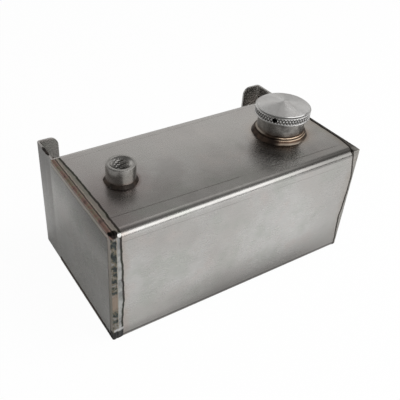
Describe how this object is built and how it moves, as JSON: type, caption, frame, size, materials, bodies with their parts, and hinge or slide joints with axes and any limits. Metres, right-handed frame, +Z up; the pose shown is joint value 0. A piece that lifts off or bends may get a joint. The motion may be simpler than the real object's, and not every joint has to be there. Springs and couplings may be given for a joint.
{
  "type": "hydraulic reservoir",
  "caption": "Welded sheet-metal oil tank with rear mounting flanges, a threaded return port, an end suction port and a knurled vented screw cap.",
  "frame": {"origin": "under the middle of the whole object, on the surface that the tank stands on", "axes": "+X along the tank from the return port towards the filler, +Y towards the mounting flanges, +Z up"},
  "size_m": [0.2686, 0.1504, 0.1477],
  "materials": {
    "sheet_steel": "satin cold-rolled stainless sheet with faint heat tint beside the welds",
    "weld_bead": "rippled TIG bead with straw, copper and blue-grey heat tint",
    "turned_steel": "turned stainless, fine circular marks",
    "cap_aluminium": "turned and diamond-knurled aluminium",
    "seal_rubber": "matt black nitrile rubber",
    "wire_mesh": "perforated and woven stainless"
  },
  "bodies": {
    "tank": {"tank_wrap": "sheet_steel", "wrap_seam_weld": "weld_bead", "left_end_plate": "sheet_steel", "right_end_plate": "sheet_steel", "left_end_weld": "weld_bead", "right_end_weld": "weld_bead", "return_bung": "turned_steel", "return_bung_weld": "weld_bead", "return_drop_tube": "turned_steel", "suction_bung": "turned_steel", "suction_bung_weld": "weld_bead", "strainer_nipple": "turned_steel", "strainer_core": "wire_mesh", "strainer_screen": "wire_mesh", "strainer_end_cap": "turned_steel", "baffle_plate": "sheet_steel", "baffle_tacks": "weld_bead", "filler_neck": "turned_steel", "filler_neck_weld": "weld_bead", "filler_basket": "wire_mesh", "basket_ring": "turned_steel"},
    "seal": {"cap_gasket": "seal_rubber"},
    "cap": {"filler_cap": "cap_aluminium", "vent_seat": "turned_steel", "vent_spring": "turned_steel", "breather_screen": "wire_mesh", "screen_ring": "turned_steel"},
    "vent_valve": {"vent_poppet": "turned_steel"}
  },
  "joints": [
    {"name": "cap_lift", "type": "slide", "parent": "tank", "child": "seal", "axis": [0, 0, 1], "range_m": [0, 0.009]},
    {"name": "cap_turn", "type": "hinge", "parent": "seal", "child": "cap", "pos_m": [0.075, -0.0141, 0.14], "axis": [0, 0, 1], "range_deg": [0, 1080]},
    {"name": "vent_open", "type": "slide", "parent": "cap", "child": "vent_valve", "axis": [0, 0, 1], "range_m": [0, 0.0015], "stiffness_N_per_m": 300, "springref_m": -0.003, "deforming": ["vent_spring"]}
  ],
  "couplings": [
    {"joint": "cap_lift", "follows": "cap_turn", "m_per_rad": 0.00047746}
  ]
}
